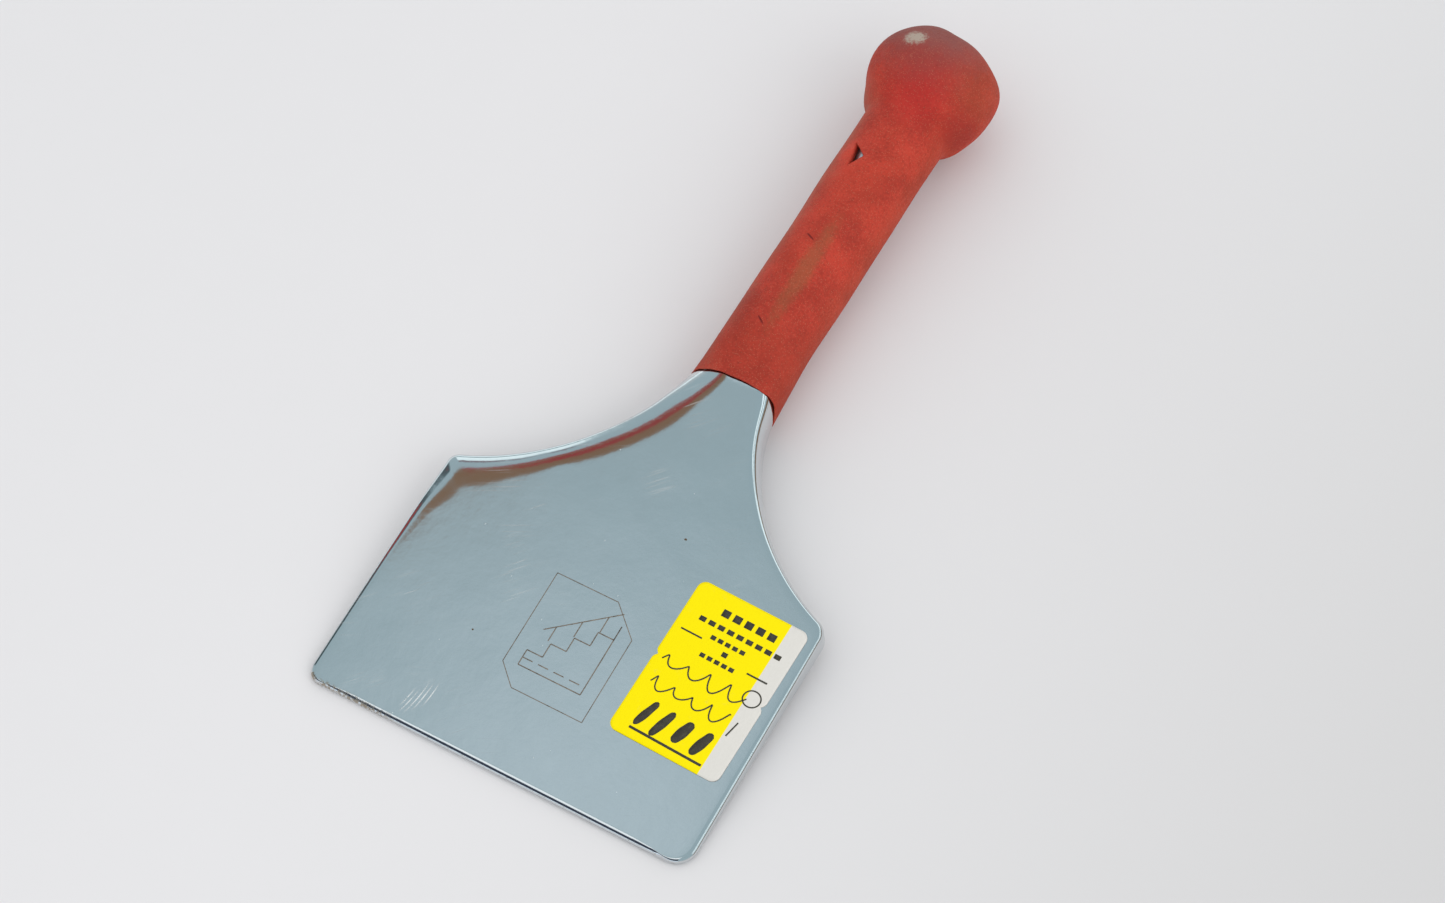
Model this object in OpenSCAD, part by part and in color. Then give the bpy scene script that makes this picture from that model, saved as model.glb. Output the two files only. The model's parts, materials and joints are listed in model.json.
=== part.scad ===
// Wide-blade stair tool: a forged, chrome-plated blade on a round steel shank with a ball end,
// covered from the neck to the ball by a one-piece vinyl grip. A price label sticks to the blade.
// It lies as it does on a bench: on its front edge and its ball. +Y runs from the front edge to
// the ball, +X is across the blade and Z = 0 is the bench.

/* [Blade] */
// Width across the parallel sides
blade_w = 127; // [110:1:140]
// Thickness of the rounded front edge
edge_t = 2.4; // [1.6:0.1:3.2]
// Depth of the flat underside below the handle's axis
under_drop = 3.5; // [2.5:0.1:4.5]
// Slope of the top face, in degrees above the handle's axis
top_slope = 3.55; // [3:0.05:4]
// Where the underside stops being flat and swells into the neck
under_flat = 88; // [70:1:100]
// Radius of the hollow flanks that run from the shoulders into the neck
flank_r = 78; // [70:1:90]
// Radius of the front corners
corner_r = 4.5; // [2:0.5:8]
// Radius of the shoulders
shoulder_r = 3.5; // [2:0.5:6]

/* [Shank] */
// Diameter of the round bar
shank_d = 22.2; // [20:0.1:23]
// Where the neck has become as round as the bar
neck_y = 154; // [150:1:158]
// Diameter of the spigots turned on both ends
spigot_d = 12.7; // [10:0.1:14]
// Length of each spigot
spigot_l = 14; // [10:1:18]
// Width of the weld groove where the bar meets the neck
groove_w = 4; // [3:0.5:5]

/* [Ball end] */
// Diameter of the steel ball
ball_d = 38.1; // [34:0.1:39]
// Distance from the front edge to the ball's centre
ball_y = 257.5; // [250:0.5:265]
// Leg of the weld between the bar and the ball
weld_leg = 2.5; // [2:0.5:3]

/* [Grip] */
// Outer diameter of the grip along the bar
grip_d = 27; // [26:0.1:28]
// Outer diameter of the grip over the ball
boot_d = 41.5; // [41:0.1:43]
// How much the grip's far end is flattened
boot_flat = 1.4; // [0.5:0.1:3]
// Where the grip's mouth is
mouth_y = 136.5; // [134:0.5:140]
// Width of the mouth, which stretches over the flat neck
mouth_w = 30.4; // [29:0.1:32]
// Height of the mouth
mouth_h = 20; // [18.5:0.1:22]
// Lean of the mouth's cut, in degrees
mouth_lean = 10; // [0:1:15]
// Where the stretched mouth has become round
round_y = 160; // [158:1:166]
// Distance of the tear from the front edge
tear_y = 220; // [180:1:225]
// Angle of the tear round the grip, in degrees from the top
tear_a = 22; // [0:1:90]
// Length of the tear
tear_l = 5.5; // [3:0.1:8]
// Width of the tear
tear_w = 3.4; // [2:0.1:5]

/* [Price label] */
// Width of the label
label_w = 36.2; // [30:0.1:40]
// Length of the label
label_l = 51.2; // [40:0.1:56]
// Thickness of the label with its glue
label_t = 0.2; // [0.1:0.05:0.4]
// Where the label's middle is across the blade
label_x = 41.3; // [38:0.1:44]
// Where the label's middle is along the blade
label_y = 51.4; // [40:0.1:60]
// Turn of the label, in degrees
label_turn = -1.8; // [-5:0.1:5]
// Radius of the label's corners
label_r = 2.6; // [1:0.1:4]
// Radius of the small notch half-way along each long side
notch_r = 0.8; // [0.4:0.1:1.2]

/* [Hidden] */
$fn = 64;

steel = [0.62, 0.69, 0.72];
red_vinyl = [0.72, 0.22, 0.17];

shank_r = shank_d / 2;
spigot_r = spigot_d / 2;
ball_r = ball_d / 2;
boot_r = boot_d / 2;
edge_r = edge_t / 2;

// How far a cutting shape runs past what it cuts.
over = 1;

// The front edge's middle, and the top face's height where the edge's rounding ends.
edge_z = edge_r - under_drop;
edge_top = edge_z + edge_r;

// The forging ends in a short round stub, and the bar is welded on there.
joint_y = neck_y + groove_w;

// The bar's shoulder sits on a flat of its own size on the ball.
seat_y = ball_y - sqrt(ball_r * ball_r - shank_r * shank_r);

// Lying tilt, which brings the front edge and the ball's cover down to Z = 0 together.
reach = norm([ball_y - edge_r, edge_z]);
tilt = asin((boot_r - edge_r) / reach) - atan2(-edge_z, ball_y - edge_r);
lift = boot_r - ball_y * sin(tilt);

// Ends of the tilted tool along Y, and the middle between them.
flat_r = sqrt(boot_r * boot_r - (boot_r - boot_flat) * (boot_r - boot_flat));
low_y = edge_r * cos(tilt) - edge_z * sin(tilt) - edge_r;
high_y = (ball_y + boot_r - boot_flat) * cos(tilt) + flat_r * sin(tilt);
mid_y = (low_y + high_y) / 2;

// Lays what is drawn along the handle's axis down on the bench.
module laid() {
  translate([0, -mid_y, lift]) rotate([tilt, 0, 0]) children();
}

// Turns a shape drawn in X and Y, with Y along the handle, round the handle's axis.
module turned() {
  rotate([-90, 0, 0]) rotate_extrude($fn = 128) children();
}

// A round bar along the handle from y0 to y1.
module bar(r, y0, y1) {
  translate([0, y0, 0]) rotate([-90, 0, 0]) cylinder(r = r, h = y1 - y0);
}

// The corner between a side, a second edge and a rounding circle at c, as a shape to cut away.
module corner_cut(c, r, u, v) {
  difference() {
    polygon([c, c + u, c + u + v, c + v]);
    translate(c) circle(r = r);
  }
}

// Half of the blade's outline: side, rounded front corner, shoulder and hollow flank.
module half_outline() {
  half = blade_w / 2;
  flank_x = shank_r + flank_r;
  shoulder_x = half - shoulder_r;
  // The shoulder's circle bites into the flank by a hair, so that they cross and don't just touch.
  bite = 0.01;
  span = flank_r + shoulder_r - bite;
  shoulder_y = neck_y - sqrt(span * span - (flank_x - shoulder_x) * (flank_x - shoulder_x));
  toward = [flank_x - shoulder_x, neck_y - shoulder_y] / span;
  square([shank_r, joint_y]);
  difference() {
    square([half, neck_y]);
    translate([flank_x, neck_y]) circle(r = flank_r, $fn = 256);
    corner_cut([half - corner_r, corner_r], corner_r, [corner_r + over, 0], [0, -corner_r - over]);
    corner_cut([shoulder_x, shoulder_y], shoulder_r, [shoulder_r + over, 0],
               toward * (shoulder_r + over));
  }
}

// Side view of the blade: rounded front edge, sloping top, flat underside, swelling neck. The top
// slopes as far as flat_end, where the underside has dropped by another swell, and both are past the
// neck's round before neck_y.
module side_profile() {
  flat_end = 140;
  swell = 3.8;
  round_at = neck_y - 3;
  out = shank_r + 0.5;
  difference() {
    polygon([
      [0, edge_top - edge_r * tan(top_slope)],
      [flat_end, edge_top + (flat_end - edge_r) * tan(top_slope)],
      [round_at, out],
      [joint_y + over, out],
      [joint_y + over, -out],
      [round_at, -out],
      [flat_end, -under_drop - swell],
      [under_flat, -under_drop],
      [0, -under_drop]
    ]);
    difference() {
      translate([-edge_t, edge_z - edge_t]) square([edge_t + edge_r, 2 * edge_t]);
      translate([edge_r, edge_z]) circle(r = edge_r);
    }
  }
}

// The V groove that the neck and the bar share, as a shape round the axis.
module weld_groove() {
  polygon([
    [shank_r - groove_w / 2, joint_y],
    [shank_r, joint_y - groove_w / 2],
    [shank_r, joint_y + groove_w / 2]
  ]);
}

// Stands a shape on the top face, with Y running up the slope.
module on_top() {
  translate([0, edge_r, edge_top]) rotate([top_slope, 0, 0]) translate([0, -edge_r, 0]) children();
}

// The forging before its socket and weld groove: the outline turned like a bell and cut to the wedge.
module forging() {
  intersection() {
    turned() half_outline();
    rotate([90, 0, 90]) linear_extrude(height = blade_w + 2 * over, center = true) side_profile();
  }
}

// The corner that the weld round the ball's seat fills.
module seat_corner() {
  polygon([
    [shank_r, seat_y - weld_leg],
    [shank_r + weld_leg, seat_y + weld_leg],
    [shank_r, seat_y + weld_leg]
  ]);
}

module blade() {
  color(steel) laid() difference() {
    forging();
    bar(spigot_r, joint_y - spigot_l, joint_y + over);
    turned() weld_groove();
  }
}

module shank() {
  color(steel) laid() difference() {
    union() {
      bar(spigot_r, joint_y - spigot_l, seat_y + spigot_l);
      bar(shank_r, joint_y, seat_y);
    }
    turned() weld_groove();
  }
}

module neck_weld() {
  color(steel * 0.9) laid() turned() weld_groove();
}

module ball() {
  color(steel) laid() difference() {
    translate([0, ball_y, 0]) rotate([-90, 0, 0]) sphere(r = ball_r);
    bar(ball_r, ball_y - 2 * ball_r, seat_y);
    bar(spigot_r, seat_y - over, seat_y + spigot_l);
  }
}

module ball_weld() {
  color(steel * 0.9) laid() turned() difference() {
    seat_corner();
    translate([0, ball_y]) circle(r = ball_r);
  }
}

// A thin oval disc across the handle, for the grip's stretched mouth.
module oval(y, w, h, lean = 0) {
  disc = 0.1;
  translate([0, y, 0]) rotate([lean - 90, 0, 0]) scale([w / 2, h / 2, 1])
    cylinder(r = 1, h = disc, $fn = 32);
}

// The diamond-shaped tear in the grip, as a shape to cut through its wall.
module tear() {
  l = tear_l / 2;
  w = tear_w / 2;
  rotate([0, -tear_a, 0]) translate([0, tear_y, shank_r - over])
    linear_extrude(height = grip_d / 2) polygon([[0, -l], [w, 0], [0, l], [-w, 0]]);
}

// The sleeve is a little wide and low half-way between its mouth and where it is round.
module grip() {
  half_y = (mouth_y + round_y) / 2;
  half_w = grip_d + 0.3;
  half_h = grip_d - 3;
  end_y = ball_y + boot_r - boot_flat;
  color(red_vinyl) laid() difference() {
    union() {
      hull() {
        oval(mouth_y, mouth_w, mouth_h, -mouth_lean);
        oval(half_y, half_w, half_h);
      }
      hull() {
        oval(half_y, half_w, half_h);
        oval(round_y, grip_d, grip_d);
      }
      bar(grip_d / 2, round_y, ball_y);
      translate([0, ball_y, 0]) rotate([-90, 0, 0]) sphere(r = boot_r);
    }
    bar(boot_r, end_y, end_y + boot_r);
    tear();
    forging();
    bar(shank_r, joint_y, ball_y);
    translate([0, ball_y, 0]) rotate([-90, 0, 0]) sphere(r = ball_r);
    turned() seat_corner();
  }
}

module price_label() {
  x = label_w / 2 - label_r;
  y = label_l / 2 - label_r;
  color("gold") laid() on_top() translate([label_x, label_y]) rotate([0, 0, label_turn])
    linear_extrude(height = label_t) difference() {
      union() {
        square([label_w, 2 * y], center = true);
        square([2 * x, label_l], center = true);
        for (sx = [-1, 1], sy = [-1, 1]) translate([sx * x, sy * y]) circle(r = label_r);
      }
      for (s = [-1, 1]) translate([s * label_w / 2, 0]) circle(r = notch_r);
    }
}

blade();
shank();
neck_weld();
ball();
ball_weld();
grip();
price_label();
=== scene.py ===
"""Wide-blade stair tool: chrome-plated forged blade, price label, engraved mark and red vinyl grip.

Lengths are millimetres in the tool's own axes unless a name ends in _m: x across the blade, y along the
handle from the front edge, z up from the handle's axis. placed() lays them down in the shared frame.
"""

import json
import math

import bmesh
import bpy
import numpy as np
from bpy.props import FloatProperty, FloatVectorProperty, PointerProperty
from mathutils import Matrix, Vector


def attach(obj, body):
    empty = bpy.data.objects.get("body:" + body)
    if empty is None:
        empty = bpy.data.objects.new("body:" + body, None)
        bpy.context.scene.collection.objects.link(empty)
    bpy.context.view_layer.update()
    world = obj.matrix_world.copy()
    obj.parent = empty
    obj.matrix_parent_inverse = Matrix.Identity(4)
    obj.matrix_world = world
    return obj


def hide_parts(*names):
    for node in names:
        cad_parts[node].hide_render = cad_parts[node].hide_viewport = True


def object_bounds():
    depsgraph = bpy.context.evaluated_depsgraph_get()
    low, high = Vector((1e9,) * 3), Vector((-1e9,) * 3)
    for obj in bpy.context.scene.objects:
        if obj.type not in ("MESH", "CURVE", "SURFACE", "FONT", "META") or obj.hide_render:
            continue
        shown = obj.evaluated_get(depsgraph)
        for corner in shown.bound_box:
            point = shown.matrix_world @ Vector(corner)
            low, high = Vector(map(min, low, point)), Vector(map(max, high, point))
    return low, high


bl_info = {
    "name": "Wide-blade stair tool",
    "version": (1, 0, 0),
    "blender": (4, 5, 0),
    "location": "3D View > Sidebar > Stair tool",
    "description": "Builds a carpet layer's stair tool around its packed frame",
    "category": "Add Mesh",
}

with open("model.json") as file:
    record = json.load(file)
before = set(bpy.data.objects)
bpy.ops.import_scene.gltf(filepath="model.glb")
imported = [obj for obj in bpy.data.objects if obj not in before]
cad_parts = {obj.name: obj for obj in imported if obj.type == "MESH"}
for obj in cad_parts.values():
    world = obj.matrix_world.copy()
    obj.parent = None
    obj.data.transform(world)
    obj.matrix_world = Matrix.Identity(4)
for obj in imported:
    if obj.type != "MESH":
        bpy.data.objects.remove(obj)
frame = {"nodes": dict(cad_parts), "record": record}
CAD_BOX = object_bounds()
MM = 0.001
MERGE_M = 1e-7

# The lying tool's axes, from the mount half-way along the flat underside.
UNDER_FLAT = 88.0
UNDER_DROP = 3.5
MOUNT = frame["record"]["mounts"][0]
UP = -np.array(MOUNT["axis"])
ALONG = np.array([0.0, UP[2], -UP[1]])
ORIGIN_M = np.array(MOUNT["pos_m"]) + MM * (UNDER_DROP * UP - UNDER_FLAT / 2 * ALONG)
TILT = math.atan2(ALONG[2], ALONG[1])

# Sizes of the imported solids. On the right the old corner and shoulder are worn rounder.
HALF_W = 63.5
EDGE_R = 1.2
TOP_SLOPE = math.tan(math.radians(3.55))
FLANK_R = 78.0
LEFT_CORNER_R = 4.5
RIGHT_CORNER_R = 6.5
LEFT_SHOULDER_R = 3.5
RIGHT_SHOULDER_R = 5.5
BAR_R = 11.1
NECK_Y = 154.0
JOINT_Y = 158.0
BORE_R = 6.35
BORE_L = 14.0
GRIP_R = 13.5
BALL_Y = 257.5
BALL_R = 19.05
BOOT_R = 20.75
BOOT_END = 276.85


def placed(points):
    """World metres of tool points: the tool's three axes times x, y and z, from its origin."""
    p = np.asarray(points, float) * MM
    return ORIGIN_M + p[..., :1] * np.array([1.0, 0, 0]) + p[..., 1:2] * ALONG + p[..., 2:] * UP


def xyz(*parts):
    """Points from their coordinates."""
    return np.stack(np.broadcast_arrays(*parts), -1)


def unit(vectors):
    """The vectors divided by their lengths."""
    return vectors / np.linalg.norm(vectors, axis=-1, keepdims=True)


def smooth_step(x, low, high):
    """0 below low, 1 above high and a cubic between."""
    t = np.clip((x - low) / (high - low), 0, 1)
    return t * t * (3 - 2 * t)


def averaged(values, reach):
    """Running mean over 2 * reach + 1 neighbours, with both ends held."""
    padded = np.concatenate([np.full(reach, values[0]), values, np.full(reach, values[-1])])
    kernel = np.hanning(2 * reach + 3)[1:-1]
    return np.convolve(padded, kernel / kernel.sum(), "valid")


# ---- meshes


def grid_faces(rows, columns, wrap=False, first=0):
    """Quads of a grid whose vertices run row by row; wrap joins the last column to the first."""
    i = np.arange(rows - 1)[:, None]
    j = np.arange(columns if wrap else columns - 1)[None, :]
    k = (j + 1) % columns
    quads = np.stack([i * columns + j, i * columns + k, (i + 1) * columns + k, (i + 1) * columns + j], -1)
    return quads.reshape(-1, 4) + first


def new_material(name):
    """An empty material and its Tree."""
    made = bpy.data.materials.new(name)
    made.use_nodes = True
    return made, Tree(made.node_tree)


def linked(name, points_m, faces, material):
    """A new object in the scene: a mesh of points in world metres and faces, with its material."""
    mesh = bpy.data.meshes.new(name)
    mesh.from_pydata(points_m.reshape(-1, 3).tolist(), [], faces.tolist())
    mesh.materials.append(material)
    piece = bpy.data.objects.new(name, mesh)
    bpy.context.scene.collection.objects.link(piece)
    return piece


def solid(name, points, faces, material, slot, replaced=None):
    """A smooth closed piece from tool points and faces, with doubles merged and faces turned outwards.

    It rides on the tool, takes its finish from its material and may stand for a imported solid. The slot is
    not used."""
    piece = linked(name, placed(points), faces, material)
    mesh = piece.data
    work = bmesh.new()
    work.from_mesh(mesh)
    bmesh.ops.remove_doubles(work, verts=work.verts, dist=MERGE_M)
    bmesh.ops.dissolve_degenerate(work, edges=work.edges, dist=MERGE_M)
    bmesh.ops.recalc_face_normals(work, faces=work.faces)
    work.to_mesh(mesh)
    work.free()
    mesh.polygons.foreach_set("use_smooth", np.ones(len(mesh.polygons), bool))
    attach(piece, "root")
    if replaced:
        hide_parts(replaced)


# ---- blade


# The neck swells to the round bar's height between SWELL_Y and ROUND_Y, and its flanks stand out by a bell
# of NECK_EXTRA where it leaves the grip. The underside bends down over UNDER_BEND at slope UNDER_SLOPE.
SWELL_Y, ROUND_Y = 137, 153
NECK_EXTRA, NECK_EXTRA_Y, NECK_EXTRA_REACH = 0.95, 136, 8
UNDER_BEND, UNDER_SLOPE = 4.0, 0.073


def top_height(y):
    """Height of the top face's middle: a straight slope that swells into the round neck."""
    slope = EDGE_R - UNDER_DROP + EDGE_R + (y - EDGE_R) * TOP_SLOPE
    return slope + smooth_step(y, SWELL_Y, ROUND_Y) * (BAR_R - slope)


def under_height(y):
    """Height of the underside's middle: flat, then down as log(1 + exp), then the round neck."""
    drop = -UNDER_DROP - UNDER_SLOPE * UNDER_BEND * np.logaddexp(0, (y - UNDER_FLAT) / UNDER_BEND)
    return drop + smooth_step(y, SWELL_Y, ROUND_Y) * (-BAR_R - drop)


def arc(centre, radius, start, end, steps):
    """Points of a circle, or of an ellipse if two radii are given, at even steps between two angles."""
    a = np.linspace(start, end, steps)
    return centre + radius * xyz(np.cos(a), np.sin(a))


def half_outline(corner_r, shoulder_r):
    """Right half of the plan from the neck's end to the front middle, as points and arc length.

    Straight stub, flank circle, shoulder arc, straight side, corner arc and straight front; the flanks are
    pushed out by a bell curve of y where the neck leaves the grip."""
    flank_c = np.array([BAR_R + FLANK_R, NECK_Y])
    shoulder_x = HALF_W - shoulder_r
    reach = FLANK_R + shoulder_r
    shoulder_c = np.array([shoulder_x, NECK_Y - math.sqrt(reach**2 - (flank_c[0] - shoulder_x) ** 2)])
    meet = math.atan2(flank_c[1] - shoulder_c[1], flank_c[0] - shoulder_c[0])
    corner_c = np.array([HALF_W - corner_r, corner_r])
    parts = [
        np.linspace([BAR_R, JOINT_Y], [BAR_R, NECK_Y], 5)[:-1],
        arc(flank_c, FLANK_R, math.pi, math.pi + meet, 100)[:-1],
        arc(shoulder_c, shoulder_r, meet, 0, 16)[:-1],
        np.linspace([HALF_W, shoulder_c[1]], [HALF_W, corner_r], 62)[:-1],
        arc(corner_c, corner_r, 0, -math.pi / 2, 18)[:-1],
        np.linspace([HALF_W - corner_r, 0], [0, 0], 62),
    ]
    points = np.concatenate(parts)
    points[:, 0] += NECK_EXTRA * np.exp(-(((points[:, 1] - NECK_EXTRA_Y) / NECK_EXTRA_REACH) ** 2))
    length = np.concatenate([[0], np.cumsum(np.linalg.norm(np.diff(points, axis=0), axis=1))])
    return points, length


# Width and depth of the rounding along the outline, at distances from the neck's end. Polishing has drawn
# the left flank's rounding far in over the top, and left the right flank crisp.
ROLL_AT = [0, 4, 8, 13, 20, 32, 54, 71, 84, 98, 106, 118, 135, 173, 182, 186, 242]
LEFT_WIDTH = [11.1, 11.1, 11.2, 11.6, 12.6, 12.5, 10.5, 8.5, 10, 14, 11.5, 6, 2.5, 1.9, 1.6, 1.7, 1.8]
LEFT_DEPTH = [11.1, 11.1, 11.1, 10, 7.3, 3.6, 2.5, 2.3, 2.6, 2.9, 2.5, 1.4, 1.1, 1.0, 1.2, 1.3, 1.3]
RIGHT_WIDTH = [11.1, 11.1, 11.1, 8.4, 4.9, 3.6, 2.6, 2.1, 1.9, 1.8, 1.8, 1.8, 1.8, 1.8, 1.8, 1.7, 1.8]
RIGHT_DEPTH = [11.1, 11.1, 11.1, 9.5, 7.3, 5.2, 3.6, 2.7, 2.3, 2.0, 1.8, 1.6, 1.5, 1.4, 1.3, 1.3, 1.3]
UNDER_WIDTH = [11.1, 11.1, 11.2, 11.6, 12.6, 6, 1.4, 1.2, 1.2, 1.2, 1.2, 1.2, 1.2, 1.1, 1.0, 1.0, 1.0]
UNDER_DEPTH = [11.1, 11.1, 11.1, 10, 7.0, 3.6, 1.4, 1.2, 1.2, 1.2, 1.2, 1.2, 1.2, 1.0, 0.9, 0.9, 0.9]


# Rays from the flanks lean back by LEAN times x, which grows over LEAN_OVER from the joint, down to
# LEAN_FROM; below it they close in evenly until the corner's ray meets the spine at SPINE_FRONT and the
# front's middle at SPINE_END.
LEAN, LEAN_OVER, LEAN_FROM, SPINE_FRONT, SPINE_END = 0.85, 30, 78, 14, 6
# Distances along the outline between which the side turns into the front.
TURN_FROM, TURN_TO = 172, 192
# The most that the rolls take: of the ray, of the thickness from below, and of the thickness in all.
RAY_SHARE, UNDER_SHARE, ROLL_SHARE = 0.985, 0.495, 0.99
# Part of the ray's length, less the roll, at each station of the flat.
FLAT = np.array([1, 0.72, 0.46, 0.24, 0.1, 0.03])
# Part of the wall's height at each station of the wall.
WALL = np.array([0.25, 0.5, 0.75])


def blade_half(corner_r, shoulder_r, roll_width, roll_depth):
    """Rows of one half, drawn on the right: each is a section from the spine out and back under.

    Along the ray from the spine to the outline the top is flat until the roll, which is a quarter ellipse,
    then come the wall, a second quarter ellipse and the underside back to the spine. Along the front the
    ray runs slantwise, so the widths are divided by the sine between ray and edge."""
    outline, length = half_outline(corner_r, shoulder_r)
    x, y = outline.T
    lean = LEAN * smooth_step(JOINT_Y - y, 0, LEAN_OVER)
    side = np.interp(y, [0, LEAN_FROM], [SPINE_FRONT, LEAN_FROM - LEAN * HALF_W])
    spine_y = np.where(y > LEAN_FROM, y - lean * x, side)
    front = y < 0.01
    spine_y[front] = SPINE_END + (SPINE_FRONT - SPINE_END) * x[front] / (HALF_W - corner_r)
    spine_y[4:] = averaged(spine_y, 7)[4:]
    spine_y[-1] = spine_y[-2] - 0.2
    ray = xyz(0, spine_y) - outline
    span = np.linalg.norm(ray, axis=1)
    ray /= span[:, None]
    tangent = unit(np.gradient(outline, axis=0))
    across = np.abs(ray[:, 0] * tangent[:, 1] - ray[:, 1] * tangent[:, 0])
    skew = 1 + (1 / np.maximum(across, 0.15) - 1) * smooth_step(length, TURN_FROM, TURN_TO)

    def along(table):
        values = np.interp(length, ROLL_AT, table)
        return np.concatenate([values[:4], averaged(values, 4)[4:]])

    width = np.minimum(along(roll_width) * skew, RAY_SHARE * span)[:, None]
    under_width = np.minimum(along(UNDER_WIDTH) * skew, RAY_SHARE * span)[:, None]
    thick = top_height(y) - under_height(y)
    under_depth = np.minimum(along(UNDER_DEPTH), UNDER_SHARE * thick)
    depth = np.minimum(along(roll_depth), ROLL_SHARE * thick - under_depth)

    turn, turn_under = np.linspace(0, math.pi / 2, 22), np.linspace(0, math.pi / 2, 12)
    flat = width + (span[:, None] - width) * FLAT
    flat_under = under_width + (span[:, None] - under_width) * FLAT[::-1]
    inset = np.concatenate([flat, width * (1 - np.sin(turn)), np.zeros((len(x), len(WALL))),
                            under_width * (1 - np.cos(turn_under)), flat_under], axis=1)
    plan = outline[:, None] + ray[:, None] * inset[..., None]
    tops = len(FLAT) + len(turn)
    level = np.zeros((len(x), len(FLAT)))
    sink = np.concatenate([level, depth[:, None] * (1 - np.cos(turn))], axis=1)
    lift = np.concatenate([under_depth[:, None] * (1 - np.sin(turn_under)), level], axis=1)
    high = top_height(plan[:, :tops, 1]) - sink
    low = under_height(plan[:, tops + len(WALL):, 1]) + lift
    wall = high[:, -1:] + (low[:, :1] - high[:, -1:]) * WALL
    return np.concatenate([plan, np.concatenate([high, wall, low], axis=1)[..., None]], axis=-1)


def blade_mesh():
    """Both halves as one grid, closed at the neck by a ring, the socket's wall and its floor."""
    right = blade_half(RIGHT_CORNER_R, RIGHT_SHOULDER_R, RIGHT_WIDTH, RIGHT_DEPTH)
    left = blade_half(LEFT_CORNER_R, LEFT_SHOULDER_R, LEFT_WIDTH, LEFT_DEPTH) * [-1, 1, 1]
    rows = np.concatenate([left, right[-2::-1]])
    count, columns = rows.shape[:2]
    rim = np.concatenate([rows[0], rows[-1][-2:0:-1]])
    bore = BORE_R * unit(rim[:, [0, 2]])
    mouth = xyz(bore[:, 0], JOINT_Y, bore[:, 1])
    floor = mouth - [0, BORE_L, 0]
    centre = np.zeros_like(floor) + [0, JOINT_Y - BORE_L, 0]
    points = np.concatenate([rows.reshape(-1, 3), rim, mouth, floor, centre])
    cap = grid_faces(4, len(rim), wrap=True, first=count * columns)
    return points, np.concatenate([grid_faces(count, columns), cap])


# ---- grip

MOUTH_Y = 136.2
MOUTH_LEAN = math.tan(math.radians(10))
TEAR_AT = (219.8, -4.7)
# Corners of the tear about its middle, along and round the grip, in order round it.
TEAR_RIM = [(4.9, -3.0), (0.3, 2.7), (-1.9, 1.2), (-4.6, -0.6), (0.6, -1.6)]
# Half the size of the window of cells that the tear opens, and how far past it the cells are pulled.
TEAR_BOX, TEAR_PULL = 2.2, 3.4

# Directions from the ball's centre, with how far the old vinyl stands in (-) or out (+) and how widely.
BALL_DENTS = [((0.10, 0.85, 0.52), -1.3, 0.28), ((0.45, 0.86, 0.20), -1.9, 0.36),
              ((0.75, -0.30, -0.60), -0.9, 0.5), ((0.89, 0.43, -0.15), 1.0, 0.3),
              ((-0.84, 0.20, 0.50), 0.8, 0.5), ((-0.86, -0.50, 0.09), -0.9, 0.4)]
BALL_C = np.array([0, BALL_Y, 0])
# Gaps left between the skin and the steel ball: at the dents, in the neck of the ball and inside.
BALL_GAP, NECK_GAP, SKIN_GAP = 0.2, 0.15, 0.08
# Where the skin turns from tube to ball, outside and inside.
BALL_FROM, BALL_TO, INNER_FROM, INNER_TO = 243, 250, 236, 246
# Rows are close together round the tear and wider apart on either side, and the ball's end flattens over
# END_SOFT.
FINE_FROM, FINE_TO, FINE_STEP = 212, 226.01, 0.55
BEFORE_STEP, AFTER_FROM, AFTER_STEP = 1.6, 227.2, 1.3
END_SOFT = 1.2


def ball_dents(points):
    """Presses and swells the ball end: a bell-shaped push along each direction, by the angle from it.

    A soft maximum, log(1 + exp), keeps the skin off the steel ball."""
    arm = points - BALL_C
    out = unit(arm)
    on_ball = smooth_step(points[..., 1], BALL_FROM, BALL_TO)
    for direction, push, reach in BALL_DENTS:
        n = np.array(direction) / np.linalg.norm(direction)
        bell = np.exp(-((1 - out @ n) / (reach**2 / 2)))
        points = points + (push * bell * on_ball)[..., None] * out
    arm = points - BALL_C
    distance = np.linalg.norm(arm, axis=-1, keepdims=True)
    least = BALL_R + BALL_GAP
    over = least + BALL_GAP * np.logaddexp(0, (distance - least) / BALL_GAP)
    held = np.where(distance < least + 4 * BALL_GAP, over, distance)
    return BALL_C + arm * np.where(on_ball[..., None] > 0.99, held / distance, 1)


def grip_profile():
    """Distance along the axis and radius of the tube and ball, with the crease and the end softened."""
    crease = BALL_Y - math.sqrt(BOOT_R**2 - GRIP_R**2)
    fine = np.arange(FINE_FROM, FINE_TO, FINE_STEP) - MOUTH_Y
    before = np.arange(3.6, FINE_FROM - MOUTH_Y, BEFORE_STEP)
    after = np.arange(AFTER_FROM - MOUTH_Y, crease - MOUTH_Y, AFTER_STEP)
    tube = np.concatenate([[0, 0.25, 0.7, 1.4, 2.4], before, fine, after])
    angle = np.linspace(math.acos((crease - BALL_Y) / BOOT_R), 0, 44)[1:]
    y = np.concatenate([tube + MOUTH_Y, BALL_Y + BOOT_R * np.cos(angle)])
    r = np.concatenate([np.full(len(tube), GRIP_R), BOOT_R * np.sin(angle)])
    over = y - (BOOT_END - END_SOFT)
    y = np.where(over > 0, BOOT_END - END_SOFT + END_SOFT * np.tanh(over / 2.2), y)
    blurred = averaged(r, 1)
    near = np.abs(y - crease) < 3
    r[near] = blurred[near]
    return y, r


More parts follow.
